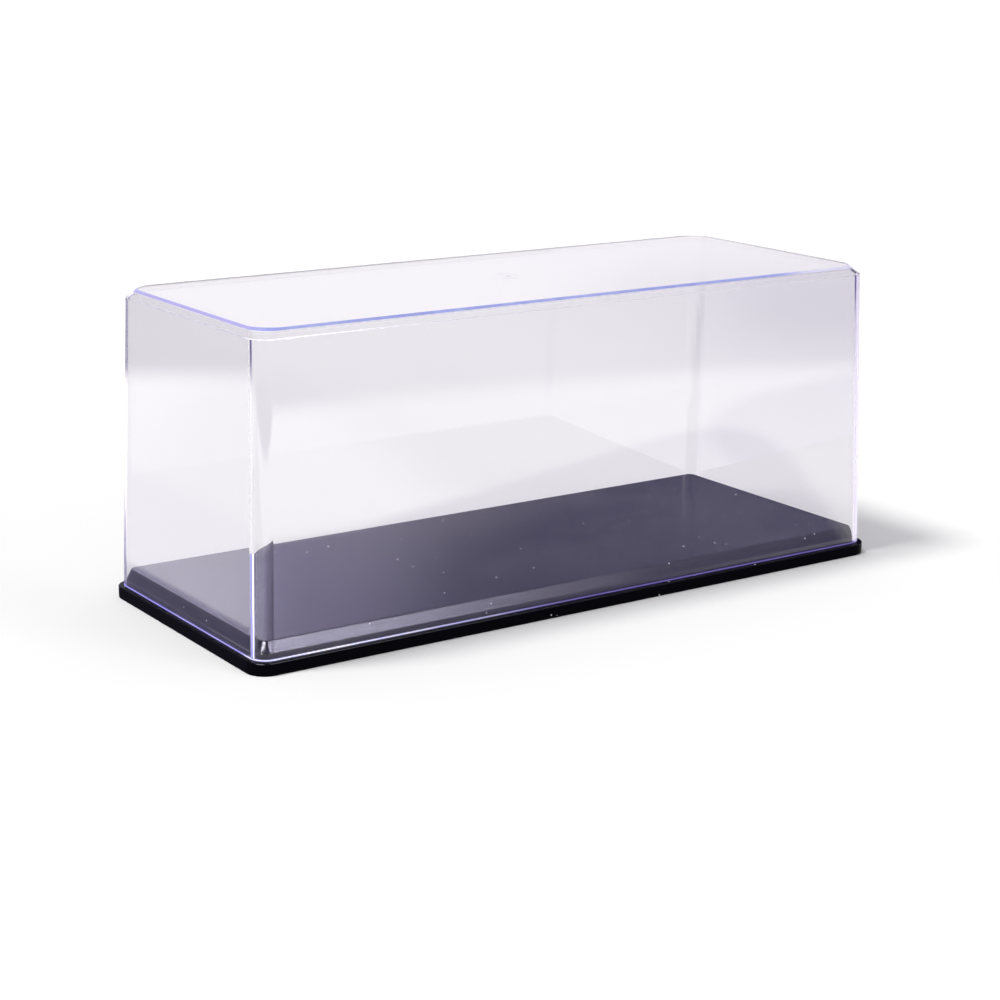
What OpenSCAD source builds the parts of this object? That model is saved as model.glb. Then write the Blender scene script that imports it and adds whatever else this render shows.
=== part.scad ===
// Display case for a scale model: a clear moulded cover standing on a black
// moulded base. Millimetres, +Z up. The origin is the middle of the footprint,
// on the surface that the case stands on; X runs along the case, Y runs back.

/* [Base] */
// Length of the base, left to right
base_length = 320; // [160:1:480]
// Depth of the base, front to back
base_depth = 130; // [80:1:240]
// Radius of the base's corners, seen from above
base_corner_radius = 8.5; // [6:0.5:16]
// Height of the rim round the foot of the base
rim_height = 5.3; // [4:0.1:8]
// Height of the raised deck, from the ground to its top
deck_height = 12.5; // [11:0.1:24]
// Drop of the chamfer round the deck
deck_chamfer_drop = 4.6; // [1:0.1:5.4]
// Width of the chamfer round the deck, seen from above
deck_chamfer_run = 2.2; // [0.8:0.1:3.2]
// Thickness of the base's walls and deck
base_wall = 2; // [1.2:0.1:2.8]

/* [Underside] */
// Thickness of the ribs under the deck and of the gussets under the ledge
rib_thickness = 1.2; // [0.8:0.1:2]
// Height of the ribs that hang under the deck
deck_rib_height = 3; // [1:0.1:3]
// Widest spacing of the ribs under the deck
deck_rib_pitch = 42; // [30:1:80]
// Widest spacing of the gussets under the ledge
gusset_pitch = 28; // [16:1:60]
// Height of the gussets' feet above the ground
gusset_foot = 0.8; // [0.4:0.1:1.2]

/* [Cover] */
// Height of the whole case, from the ground to the cover's roof
case_height = 133.5; // [60:0.5:260]
// Distance from the edge of the base in to the foot of the cover
cover_setback = 2.1; // [1:0.1:6]
// Thickness of the cover's walls and roof
cover_wall = 2; // [1.2:0.1:3.4]
// Lean of the cover's walls, in degrees, which lets the mould release it
cover_draft = 1.65; // [0.5:0.05:3]
// Radius of the cover's upright corners
cover_corner_radius = 7; // [6:0.5:12]
// Radius of the corners of the roof's flat top
roof_corner_radius = 11; // [8:0.5:20]
// Drop of the chamfer round the roof
roof_chamfer_drop = 3.8; // [1.5:0.1:6]
// Width of the chamfer round the roof, seen from above
roof_chamfer_run = 2.6; // [1.5:0.1:6]
// Gap between the cover's walls and the side of the deck
fit_gap = 0.3; // [0.15:0.05:0.8]

/* [Gate mark] */
// Diameter of the shallow dish where the cover's plastic entered the mould
gate_dish_diameter = 10; // [6:0.5:20]
// Depth of the dish
gate_dish_depth = 0.5; // [0.2:0.1:0.9]
// Diameter of the trimmed stub in the middle of the dish
gate_stub_diameter = 2.6; // [1.5:0.1:5]
// Height of the stub above the bottom of the dish
gate_stub_height = 0.35; // [0.1:0.05:0.9]

/* [Hidden] */

$fn = 96;
base_colour = "#131116";
cover_colour = [0.86, 0.85, 0.95, 0.35];
// Smallest corner radius of the moulds, which keeps a tight corner round
least_radius = 0.5;
// Straight pieces in each quarter turn of the cover's corners
arc_steps = 10;
ring_points = 4 * (arc_steps + 1);
// How far a cut runs past the face that it opens
cut_margin = 1;

// A chamfered wall of even thickness: how far its inner shoulder lies under
// its outer one, and how wide its inner chamfer is
function shoulder_drop(drop, run, wall) =
    let (slope = drop / run) wall * (sqrt(1 + slope * slope) - slope);
function inner_run(drop, run, wall) =
    let (slope = drop / run) (drop + wall * (sqrt(1 + slope * slope) - 1)) / slope - wall;

ledge_under = rim_height - base_wall;

deck_inset = cover_setback + cover_wall + fit_gap;
deck_length = base_length - 2 * deck_inset;
deck_depth = base_depth - 2 * deck_inset;
deck_radius = max(cover_corner_radius - cover_wall - fit_gap, deck_chamfer_run + least_radius);
deck_shoulder = deck_height - deck_chamfer_drop;

hollow_run = inner_run(deck_chamfer_drop, deck_chamfer_run, base_wall);
hollow_length = deck_length - 2 * base_wall;
hollow_depth = deck_depth - 2 * base_wall;
hollow_radius = max(deck_radius - base_wall, hollow_run + least_radius);
hollow_shoulder = deck_shoulder - shoulder_drop(deck_chamfer_drop, deck_chamfer_run, base_wall);
hollow_top = deck_height - base_wall;
gusset_reach = deck_inset + base_wall;

roof_shoulder = case_height - roof_chamfer_drop;
inner_shoulder = roof_shoulder - shoulder_drop(roof_chamfer_drop, roof_chamfer_run, cover_wall);
inner_roof = case_height - cover_wall;
inner_roof_run = inner_run(roof_chamfer_drop, roof_chamfer_run, cover_wall);

// How far the cover's outer wall lies in from the base's edge at height z
function cover_inset(z) = cover_setback + (z - rim_height) * tan(cover_draft);

// Places of evenly spread copies along a span, none further apart than pitch
function spread(span, pitch) =
    let (bays = ceil(span / pitch)) [for (i = [1 : bays - 1]) span * (i / bays - 0.5)];

// A rectangle with round corners
module rounded_outline(length, depth, radius) {
    square([length - 2 * radius, depth], center = true);
    square([length, depth - 2 * radius], center = true);
    for (x = [-1, 1], y = [-1, 1])
        translate([x * (length / 2 - radius), y * (depth / 2 - radius)])
            circle(r = radius);
}

// A block whose four sides lean in by inset over its height, with round corners
module leaning_block(length, depth, radius, height, inset) {
    for (x = [-1, 1], y = [-1, 1])
        translate([x * (length / 2 - radius), y * (depth / 2 - radius), 0])
            cylinder(h = height, r1 = radius, r2 = radius - inset);
    rotate([90, 0, 90])
        linear_extrude(height = length - 2 * radius, center = true)
            leaning_profile(depth, height, inset);
    rotate([90, 0, 0])
        linear_extrude(height = depth - 2 * radius, center = true)
            leaning_profile(length, height, inset);
}

module leaning_profile(width, height, inset)
    polygon([
        [-width / 2, 0],
        [width / 2, 0],
        [width / 2 - inset, height],
        [-width / 2 + inset, height],
    ]);

// A straight block up to a shoulder, with a chamfer above it
module chamfered_block(length, depth, radius, bottom, shoulder, top, run) {
    translate([0, 0, bottom])
        linear_extrude(height = shoulder - bottom)
            rounded_outline(length, depth, radius);
    translate([0, 0, shoulder])
        leaning_block(length, depth, radius, top - shoulder, run);
}

// One ring of points round the cover: a round-cornered outline at height z
function outline_ring(inset, radius, z) = [
    for (corner = [0 : 3], step = [0 : arc_steps])
        let (
            turn = 90 * (corner + step / arc_steps),
            side_x = corner == 0 || corner == 3 ? 1 : -1,
            side_y = corner < 2 ? 1 : -1
        )
        [
            side_x * (base_length / 2 - inset - radius) + radius * cos(turn),
            side_y * (base_depth / 2 - inset - radius) + radius * sin(turn),
            z,
        ]
];

// One ring of as many points on a circle round the middle of the roof
function round_ring(radius, z) = [
    for (i = [0 : ring_points - 1])
        let (turn = 360 * i / ring_points)
        [radius * cos(turn), radius * sin(turn), z]
];

// A closed solid through a chain of rings, flat across its first and last ring
module skin_through(rings) {
    last = (len(rings) - 1) * ring_points;
    sides = [
        for (k = [0 : len(rings) - 2], i = [0 : ring_points - 1])
            let (here = k * ring_points, above = here + ring_points, next = (i + 1) % ring_points)
            [here + i, above + i, above + next, here + next]
    ];
    first_face = [for (i = [0 : ring_points - 1]) i];
    last_face = [for (i = [0 : ring_points - 1]) last + ring_points - 1 - i];
    polyhedron(
        points = [for (ring = rings) each ring],
        faces = concat(sides, [first_face, last_face]),
        convexity = 4
    );
}

module base_outside() {
    linear_extrude(height = rim_height)
        rounded_outline(base_length, base_depth, base_corner_radius);
    chamfered_block(deck_length, deck_depth, deck_radius, 0, deck_shoulder, deck_height, deck_chamfer_run);
}

module base_hollow() {
    translate([0, 0, -cut_margin])
        linear_extrude(height = ledge_under + cut_margin)
            rounded_outline(
                base_length - 2 * base_wall,
                base_depth - 2 * base_wall,
                base_corner_radius - base_wall
            );
    chamfered_block(
        hollow_length, hollow_depth, hollow_radius,
        0, hollow_shoulder, hollow_top, hollow_run
    );
}

// Shallow ribs that stiffen the deck from below
module deck_ribs() {
    rib_bottom = hollow_top - deck_rib_height;
    for (x = spread(base_length, deck_rib_pitch))
        translate([x - rib_thickness / 2, -base_depth / 2, rib_bottom])
            cube([rib_thickness, base_depth, deck_rib_height + cut_margin]);
    for (y = spread(base_depth, deck_rib_pitch))
        translate([-base_length / 2, y - rib_thickness / 2, rib_bottom])
            cube([base_length, rib_thickness, deck_rib_height + cut_margin]);
}

// Triangular gussets that tie the rim to the ledge which the cover stands on
module gussets() {
    for (x = spread(deck_length, gusset_pitch), side = [0, 180])
        rotate([0, 0, side])
            translate([x, base_depth / 2, 0])
                gusset();
    for (y = spread(deck_depth, gusset_pitch), side = [90, 270])
        rotate([0, 0, side])
            translate([y, base_length / 2, 0])
                gusset();
}

module gusset()
    rotate([90, 0, -90])
        linear_extrude(height = rib_thickness, center = true)
            polygon([
                [base_wall / 2, gusset_foot],
                [base_wall, gusset_foot],
                [gusset_reach, ledge_under],
                [gusset_reach, ledge_under + base_wall / 2],
                [base_wall / 2, ledge_under + base_wall / 2],
            ]);

module base()
    color(base_colour)
        difference() {
            base_outside();
            difference() {
                base_hollow();
                deck_ribs();
                gussets();
            }
        }

// The rings run down the inside from the ceiling to the foot, up the outside
// to the roof, and into the dish round the stub of the gate
module cover() {
    inner_radius = cover_corner_radius - cover_wall;
    inner_shoulder_inset = cover_inset(inner_shoulder) + cover_wall;
    dish_floor = case_height - gate_dish_depth;
    color(cover_colour)
        skin_through([
            outline_ring(inner_shoulder_inset + inner_roof_run, roof_corner_radius - cover_wall, inner_roof),
            outline_ring(inner_shoulder_inset, inner_radius, inner_shoulder),
            outline_ring(cover_setback + cover_wall, inner_radius, rim_height),
            outline_ring(cover_setback, cover_corner_radius, rim_height),
            outline_ring(cover_inset(roof_shoulder), cover_corner_radius, roof_shoulder),
            outline_ring(cover_inset(roof_shoulder) + roof_chamfer_run, roof_corner_radius, case_height),
            round_ring(gate_dish_diameter / 2, case_height),
            round_ring(gate_dish_diameter / 2 - gate_dish_depth, dish_floor),
            round_ring(gate_stub_diameter / 2, dish_floor),
            round_ring(gate_stub_diameter / 2, dish_floor + gate_stub_height),
        ]);
}

base();
cover();
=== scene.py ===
"""A display case for a scale model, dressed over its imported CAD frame.

The case is two mouldings: a clear cover with a chamfered roof, and the glossy
black base that it stands on. Both are worked out here as closed skins: a
profile with small rounded edges is carried round a rectangle with round
corners, and every point's normal comes from the same formula as its place.
Lengths are in metres, +X runs along the case, +Y back and +Z up.
"""

from __future__ import annotations

import logging
from collections.abc import Callable
from dataclasses import dataclass, field
from enum import IntEnum
from functools import partial

import bpy
import numpy as np
from mathutils import Matrix, Vector

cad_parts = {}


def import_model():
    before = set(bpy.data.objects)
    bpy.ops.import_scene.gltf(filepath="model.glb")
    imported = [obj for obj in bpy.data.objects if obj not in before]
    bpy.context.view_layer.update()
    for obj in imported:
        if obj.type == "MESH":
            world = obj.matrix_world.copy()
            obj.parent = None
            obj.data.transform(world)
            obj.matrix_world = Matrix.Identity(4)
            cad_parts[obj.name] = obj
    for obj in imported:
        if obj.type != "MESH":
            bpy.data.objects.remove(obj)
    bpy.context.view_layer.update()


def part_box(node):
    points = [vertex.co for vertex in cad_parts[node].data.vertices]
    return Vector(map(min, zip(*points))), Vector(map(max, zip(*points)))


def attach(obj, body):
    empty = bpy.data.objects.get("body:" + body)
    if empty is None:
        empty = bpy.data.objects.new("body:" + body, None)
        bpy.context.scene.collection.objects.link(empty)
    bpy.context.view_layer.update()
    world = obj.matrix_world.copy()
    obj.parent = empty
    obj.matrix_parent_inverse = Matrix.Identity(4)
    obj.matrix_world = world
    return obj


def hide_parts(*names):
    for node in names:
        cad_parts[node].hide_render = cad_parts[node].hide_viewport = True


log = logging.getLogger("display_case")

MM = 0.001
# The smallest turn of a profile, in radians, that makes a rounded corner
LEAST_TURN = 1e-6
# The step of insets over which the change of a corner radius is measured
TINY_INSET = 1e-7
# How far a level face goes on past its edge's rounding, in roundings
LEVEL_START = 4.0
# The share of a bay by which a span may pass whole bays and get no new one
SPARE_BAY = 1e-9

Span = tuple[float, float]
Triple = tuple[float, float, float]
Colour = Triple
Socket = bpy.types.NodeSocket
Value = Socket | float | Colour
FinishAt = Callable[[np.ndarray, np.ndarray, np.ndarray], np.ndarray]


# ---------------------------------------------------------------- geometry


def eased(x: np.ndarray, low: float, high: float) -> np.ndarray:
    """Rise smoothly from 0 at low to 1 at high, as 3t squared less 2t cubed.

    Args:
        x: Where to evaluate.
        low: Where the rise starts.
        high: Where the rise ends.

    Returns:
        The share risen at each x, with level ends.
    """
    t = np.clip((np.asarray(x, float) - low) / (high - low), 0.0, 1.0)
    return t * t * (3.0 - 2.0 * t)


def inner_chamfer(drop: float, run: float, wall: float) -> Span:
    """Work out the inside of a chamfered wall of even thickness.

    With slope m, drop over run, and thickness t, the inner shoulder lies
    t (sqrt(1 + m m) - m) below the outer one, and the inner chamfer's run is
    (drop + t (sqrt(1 + m m) - 1)) / m - t.

    Args:
        drop: Drop of the outer chamfer.
        run: Run of the outer chamfer.
        wall: Thickness of the wall.

    Returns:
        How far the inner shoulder lies below the outer one, and the inner run.
    """
    slope = drop / run
    slant = float(np.hypot(1.0, slope))
    return wall * (slant - slope), (drop + wall * (slant - 1.0)) / slope - wall


def link(name: str, mesh: bpy.types.Mesh) -> bpy.types.Object:
    """Put a mesh in the scene as a new object at the origin.

    Args:
        name: The object's name.
        mesh: Its mesh.

    Returns:
        The new object.
    """
    piece = bpy.data.objects.new(name, mesh)
    bpy.context.scene.collection.objects.link(piece)
    return piece


@dataclass(frozen=True)
class Corner:
    """A corner of a profile: its inset from the outline, its height and its rounding."""

    inset: float
    height: float
    rounding: float = 0.0


@dataclass
class Profile:
    """A line in the plane of inset and height, with a tangent at each point."""

    points: np.ndarray
    tangents: np.ndarray
    corner_of: np.ndarray

    @classmethod
    def through(cls, corners: list[Corner], arc_steps: int = 6) -> Profile:
        """Join corners with straight lines and round each inner one by an arc.

        At a corner with unit directions a in and b out, turning by t, the arc
        of radius r starts r tan(t/2) before the corner, and its point at share
        s is the start plus r (sin(s t) a + (1 - cos(s t)) m), where m is
        the unit vector at right angles to a on b's side. A corner that doesn't
        turn is a seam between two finishes, and stays one point.

        Args:
            corners: The corners in order; the first and last stay sharp.
            arc_steps: Straight pieces in each arc.

        Returns:
            The profile, with each point's corner number in corner_of.
        """
        spots = np.array([[c.inset, c.height] for c in corners])
        step = np.diff(spots, axis=0)
        ways = step / np.linalg.norm(step, axis=1, keepdims=True)
        points, tangents, owner = [spots[:1]], [ways[:1]], [np.zeros(1, int)]
        for k in range(1, len(corners) - 1):
            before, after = ways[k - 1], ways[k]
            turn = np.arccos(np.clip(before @ after, -1.0, 1.0))
            if turn < LEAST_TURN:
                points.append(spots[k : k + 1])
                tangents.append(before[None])
                owner.append(np.full(1, k))
                continue
            across = after - (before @ after) * before
            across /= np.linalg.norm(across)
            radius = corners[k].rounding
            start = spots[k] - before * radius * np.tan(turn / 2)
            angle = np.linspace(0.0, turn, arc_steps + 1)[:, None]
            points.append(start + radius * (np.sin(angle) * before + (1 - np.cos(angle)) * across))
            tangents.append(np.cos(angle) * before + np.sin(angle) * across)
            owner.append(np.full(arc_steps + 1, k))
        points.append(spots[-1:])
        tangents.append(ways[-1:])
        owner.append(np.full(1, len(corners) - 1))
        return cls(np.concatenate(points), np.concatenate(tangents), np.concatenate(owner))

    def only(self, chosen: np.ndarray) -> Profile:
        """Return the chosen points of the profile."""
        return Profile(self.points[chosen], self.tangents[chosen], self.corner_of[chosen])


@dataclass
class Skin:
    """Rings of points and normals, one row for each point of a profile."""

    points: np.ndarray
    normals: np.ndarray
    bands: np.ndarray

    @classmethod
    def round_rectangle(
        cls, profile: Profile, half: Vector, radius_at: Callable[[np.ndarray], np.ndarray], corner_steps: int
    ) -> Skin:
        """Carry a profile round a rectangle with round corners.

        For a profile point of inset d and height z, where the outline's corner
        radius is r(d), the ring's point at turn q of the corner towards
        (sx, sy) is (sx (X - d - r) + r cos q, sy (Y - d - r) + r sin q, z).
        With d' and z' the profile's tangent and r' the change of r along it,
        the normal is (z' cos q, z' sin q, (d' + r')(|cos q| + |sin q|) - r').

        Args:
            profile: The profile to carry round.
            half: Half of the outline's length and depth at inset 0.
            radius_at: Function from insets to corner radii.
            corner_steps: Straight pieces in each quarter turn.

        Returns:
            The skin, with the profile's corner numbers as its bands.
        """
        quarter = np.linspace(0.0, np.pi / 2, corner_steps + 1)
        turn = (np.arange(4)[:, None] * np.pi / 2 + quarter).ravel()
        side = np.repeat(np.array([[1, 1], [-1, 1], [-1, -1], [1, -1]]), corner_steps + 1, axis=0)
        inset, height = profile.points[:, :1], profile.points[:, 1:]
        along_inset, along_height = profile.tangents[:, :1], profile.tangents[:, 1:]
        radius = radius_at(inset)
        growth = radius_at(inset + TINY_INSET) - radius_at(inset - TINY_INSET)
        growth = growth / (2 * TINY_INSET) * along_inset
        cos, sin = np.cos(turn), np.sin(turn)
        x = side[:, 0] * (half.x - inset - radius) + radius * cos
        y = side[:, 1] * (half.y - inset - radius) + radius * sin
        z = np.broadcast_to(height, x.shape)
        lift = (along_inset + growth) * (np.abs(cos) + np.abs(sin)) - growth
        normals = np.stack([along_height * cos, along_height * sin, lift], axis=-1)
        normals /= np.linalg.norm(normals, axis=-1, keepdims=True)
        return cls(np.stack([x, y, z], axis=-1), normals, profile.corner_of)

    @classmethod
    def both_sides(
        cls,
        profile: Profile,
        last_inside: int,
        half: Vector,
        radius_at: Callable[[bool, np.ndarray], np.ndarray],
        corner_steps: int,
    ) -> Skin:
        """Carry a profile round whose first part is the inside of a wall.

        Args:
            profile: The profile, from the inside to the outside.
            last_inside: Number of the last corner on the inside.
            half: Half of the outline's length and depth at inset 0.
            radius_at: Function from the side, true inside, and insets to radii.
            corner_steps: Straight pieces in each quarter turn.

        Returns:
            The skin of both sides, joined at the foot.
        """
        inside = profile.corner_of <= last_inside
        inner, outer = (
            cls.round_rectangle(profile.only(chosen), half, partial(radius_at, within), corner_steps)
            for within, chosen in ((True, inside), (False, ~inside))
        )
        return inner.then(outer)

    @classmethod
    def turned(cls, profile: Profile, count: int, first_band: int) -> Skin:
        """Turn a profile round the Z axis, reading its inset as the radius.

        The point at turn q is (r cos q, r sin q, z), and with r' and z' the
        profile's tangent its normal is (z' cos q, z' sin q, -r').

        Args:
            profile: The profile, from its widest point in to the axis.
            count: Points in each ring.
            first_band: Number of the profile's first corner among the bands.

        Returns:
            The turned skin.
        """
        turn = np.linspace(0.0, 2 * np.pi, count, endpoint=False)
        cos, sin = np.cos(turn), np.sin(turn)
        radius, height = profile.points[:, :1], profile.points[:, 1:]
        out, up = profile.tangents[:, :1], profile.tangents[:, 1:]
        z, lift = (np.broadcast_to(level, (len(radius), count)) for level in (height, -out))
        points = np.stack([radius * cos, radius * sin, z], axis=-1)
        normals = np.stack([up * cos, up * sin, lift], axis=-1)
        return cls(points, normals, profile.corner_of + first_band)

    def then(self, other: Skin) -> Skin:
        """Return this skin with another one's rings after its own.

        Args:
            other: The skin that follows.

        Returns:
            The joined skin.
        """
        return Skin(
            np.concatenate([self.points, other.points]),
            np.concatenate([self.normals, other.normals]),
            np.concatenate([self.bands, other.bands]),
        )

    def build(self, name: str, finish_at: FinishAt) -> bpy.types.Object:
        """Make the mesh: quads between rings, and one flat face at each end.

        Args:
            name: The piece's name.
            finish_at: Function from the band numbers at both edges of a quad
                and its place round the ring to its material's index.

        Returns:
            The new object, at the origin.
        """
        rings, count = self.points.shape[:2]
        here = np.arange(count)
        after = (here + 1) % count
        row = np.arange(rings - 1)[:, None] * count
        corners = [row + here, row + after, row + count + after, row + count + here]
        quads = np.stack(corners, axis=-1).reshape(-1, 4)
        first, last = here[::-1], here + (rings - 1) * count
        mesh = bpy.data.meshes.new(name)
        mesh.from_pydata(self.points.reshape(-1, 3), [], [*quads.tolist(), first.tolist(), last.tolist()])
        slots = finish_at(self.bands[:-1, None], self.bands[1:, None], here[None]) + np.zeros_like(here)
        ends = finish_at(self.bands[[0, -1]], self.bands[[0, -1]], here[:1])
        indices = np.concatenate([slots.ravel(), ends]).astype(np.int32)
        mesh.polygons.foreach_set("material_index", indices)
        mesh.polygons.foreach_set("use_smooth", np.ones(len(mesh.polygons), bool))
        mesh.normals_split_custom_set_from_vertices(self.normals.reshape(-1, 3))
        mesh.update()
        return link(name, mesh)


def rows_of(x: np.ndarray | float, y: np.ndarray | float, z: np.ndarray | float) -> np.ndarray:
    """Join three coordinates, arrays or plain numbers, into rows of points."""
    return np.stack(np.broadcast_arrays(x, y, z), axis=-1)


def spread(span: float, pitch: float) -> np.ndarray:
    """Place evenly spread copies along a span, none further apart than the pitch."""
    bays = int(np.ceil(span / pitch - SPARE_BAY))
    return span * (np.arange(1, bays) / bays - 0.5)


def prisms(name: str, rows: list[tuple[np.ndarray, Triple]], lean: float) -> bpy.types.Object:
    """Make many ribs at once: boxes whose lower face is smaller by a lean.

    A box's corner is its middle plus its half sizes with the corner's signs,
    and the half sizes along X and Y are smaller by the lean on its lower face.

    Args:
        name: The piece's name.
        rows: The middles of each row of boxes, and the half sizes of its boxes.
        lean: How far the lower edges lie in from the upper ones.

    Returns:
        The new object, at the origin.
    """
    middle = np.concatenate([places for places, _ in rows])
    half = np.concatenate([np.broadcast_to(size, places.shape) for places, size in rows])
    square = np.array([[-1, -1], [1, -1], [1, 1], [-1, 1]])
    sign = np.concatenate([np.insert(square, 2, level, axis=1) for level in (-1, 1)])
    shrink = np.where(sign[:, 2:] < 0, [lean, lean, 0.0], [0.0, 0.0, 0.0])
    points = middle[:, None] + sign * (half[:, None] - shrink)
    sides = np.array([[0, 3, 2, 1], [4, 5, 6, 7], [0, 1, 5, 4], [1, 2, 6, 5], [2, 3, 7, 6], [3, 0, 4, 7]])
    faces = (np.arange(len(middle))[:, None, None] * len(sign) + sides).reshape(-1, 4)
    mesh = bpy.data.meshes.new(name)
    mesh.from_pydata(points.reshape(-1, 3), [], faces.tolist())
    mesh.update()
    return link(name, mesh)


# ---------------------------------------------------------------- node tools


class Graph:
    """A short way to add and join the nodes of one tree."""

    def __init__(self, tree: bpy.types.NodeTree) -> None:
        """Empty the tree and keep it."""
        self.tree = tree
        tree.nodes.clear()

    def node(self, kind: str, **settings: object) -> bpy.types.Node:
        """Add a node and set its properties by name.

        Args:
            kind: The node's type.
            settings: Its properties.

        Returns:
            The new node.
        """
        made = self.tree.nodes.new(kind)
        for key, value in settings.items():
            setattr(made, key, value)
        return made

    def join(self, source: Value, target: Socket) -> None:
        """Feed an input socket from an output, a number or a colour.

        Args:
            source: What feeds it.
            target: The input socket.
        """
        if isinstance(source, bpy.types.NodeSocket):
            self.tree.links.new(source, target)
        else:
            target.default_value = (*source, 1.0) if isinstance(source, tuple) else source

    def fed(self, made: bpy.types.Node, values: dict[int | str, Value], output: int | str = 0) -> Socket:
        """Feed a node's inputs and return one of its outputs.

        Args:
            made: The node.
            values: What feeds its inputs, by their index or name.
            output: Index or name of the output.

        Returns:
            The output.
        """
        for key, value in values.items():
            self.join(value, made.inputs[key])
        return made.outputs[output]

    def math(self, operation: str, *values: Value) -> Socket:
        """Add a Math node on sockets or numbers and return its output."""
        return self.fed(self.node("ShaderNodeMath", operation=operation), dict(enumerate(values)))

    def product(self, first: Value, *others: Value) -> Value:
        """Return the product of two or more masks.

        Args:
            first: The first mask.
            others: The masks to multiply it by.

        Returns:
            Their product.
        """
        for other in others:
            first = self.math("MULTIPLY", first, other)
        return first

    def off(self, value: Value, middle: float) -> Socket:
        """Return how far a value lies from a middle, as a positive number."""
        return self.math("ABSOLUTE", self.math("SUBTRACT", value, middle))

    def ramp(
        self, value: Value, low: float, high: float, to_low: float = 0.0, to_high: float = 1.0
    ) -> Socket:
        """Map a value smoothly from one range to another, held at both ends.

        Args:
            value: The value to map.
            low: Start of its range.
            high: End of its range.
            to_low: What the start maps to.
            to_high: What the end maps to.

        Returns:
            The mapped value.
        """
        made = self.node("ShaderNodeMapRange", interpolation_type="SMOOTHSTEP")
        values = {"Value": value, "From Min": low, "From Max": high, "To Min": to_low, "To Max": to_high}
        return self.fed(made, values, "Result")

    def near(self, value: Value, middle: float, inner: float, outer: float) -> Socket:
        """Return 1 within inner of the middle, falling to 0 at outer."""
        return self.ramp(self.off(value, middle), inner, outer, 1.0, 0.0)

    def azimuth(self, x: Value, y: Value) -> Socket:
        """Return a place's azimuth in degrees, from the back towards the right."""
        return self.math("DEGREES", self.math("ARCTAN2", x, y))

    def blend(self, share: Value, first: Value, second: Value) -> Socket:
        """Mix two colours by a share and return the mixed colour."""
        made = self.node("ShaderNodeMix", data_type="RGBA")
        return self.fed(made, {0: share, 6: first, 7: second}, 2)

    def mixed(self, share: Value, first: Socket, second: Socket) -> Socket:
        """Mix two shaders by a share and return the mixed shader."""
        return self.fed(self.node("ShaderNodeMixShader"), {0: share, 1: first, 2: second})

    def split(self, vector: Socket) -> list[Socket]:
        """Take a vector apart.

        Args:
            vector: The vector.

        Returns:
            Its three parts.
        """
        made = self.node("ShaderNodeSeparateXYZ")
        self.join(vector, made.inputs[0])
        return list(made.outputs)

    def noise(self, position: Socket, scale: Value, detail: float) -> Socket:
        """Add cloudy noise on a position and return its height, round 0.5."""
        made = self.node("ShaderNodeTexNoise", noise_dimensions="3D")
        return self.fed(made, {"Vector": position, "Scale": scale, "Detail": detail})

    def bump(self, height: Socket, distance: float) -> Socket:
        """Return the normal of a surface that a height of at most a distance lifts."""
        values = {"Height": height, "Strength": 1.0, "Distance": distance}
        return self.fed(self.node("ShaderNodeBump"), values)


def new_group(name: str, inputs: dict[str, float], output: str) -> tuple[Graph, dict[str, Socket], Socket]:
    """Start a shader node group that reads a position and some numbers.

    Args:
        name: The group's name.
        inputs: Its number inputs and their defaults; Position is added.
        output: The name of its number output.

    Returns:
        Its graph, its input sockets by name and its output socket.
    """
    tree = bpy.data.node_groups.new(name, "ShaderNodeTree")
    tree.interface.new_socket("Position", in_out="INPUT", socket_type="NodeSocketVector")
    for key, value in inputs.items():
        made = tree.interface.new_socket(key, in_out="INPUT", socket_type="NodeSocketFloat")
        made.default_value = value
    tree.interface.new_socket(output, in_out="OUTPUT", socket_type="NodeSocketFloat")
    graph = Graph(tree)
    entry, leave = graph.node("NodeGroupInput"), graph.node("NodeGroupOutput")
    return graph, {s.name: s for s in entry.outputs}, leave.inputs[output]


def dust_group() -> bpy.types.NodeTree:
    """Make the group that scatters small specks, fewer where Thinning is high.

    A speck is a cell of a Voronoi pattern whose own random number is above
    Thinning, drawn where the point lies nearer than Size to the cell's centre.

    Returns:
        The group, with the output Mask.
    """
    graph, given, mask = new_group("dust_specks", {"Scale": 400.0, "Size": 0.1, "Thinning": 0.9}, "Mask")
    cells = graph.node("ShaderNodeTexVoronoi", feature="F1", voronoi_dimensions="3D")
    graph.join(given["Position"], cells.inputs["Vector"])
    graph.join(given["Scale"], cells.inputs["Scale"])
    chance = graph.node("ShaderNodeSeparateColor")
    graph.join(cells.outputs["Color"], chance.inputs[0])
    chosen = graph.math("GREATER_THAN", chance.outputs[0], given["Thinning"])
    least_share = 0.35
    size = graph.product(given["Size"], graph.math("ADD", chance.outputs[1], least_share))
    near = graph.math("LESS_THAN", cells.outputs["Distance"], size)
    graph.join(graph.product(chosen, near), mask)
    return graph.tree


def haze_group() -> bpy.types.NodeTree:
    """Make the group of two sizes of cloudy noise, added: soft handling marks on the black plastic, and the
    patches of painted glow along the lit edges.

    Returns:
        The group, with the output Haze.
    """
    graph, given, haze = new_group("handling_haze_and_glow_patches", {"Scale": 12.0}, "Haze")
    finer, fine_share = 7.0, 0.3
    clean, dull = 0.3, 0.7
    wide = graph.noise(given["Position"], given["Scale"], 2.0)
    fine = graph.noise(given["Position"], graph.product(given["Scale"], finer), 4.0)
    both = graph.math("ADD", graph.product(wide, 1.0 - fine_share), graph.product(fine, fine_share))
    graph.join(graph.ramp(both, clean, dull), haze)
    return graph.tree


# ---------------------------------------------------------------- finishes


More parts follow.
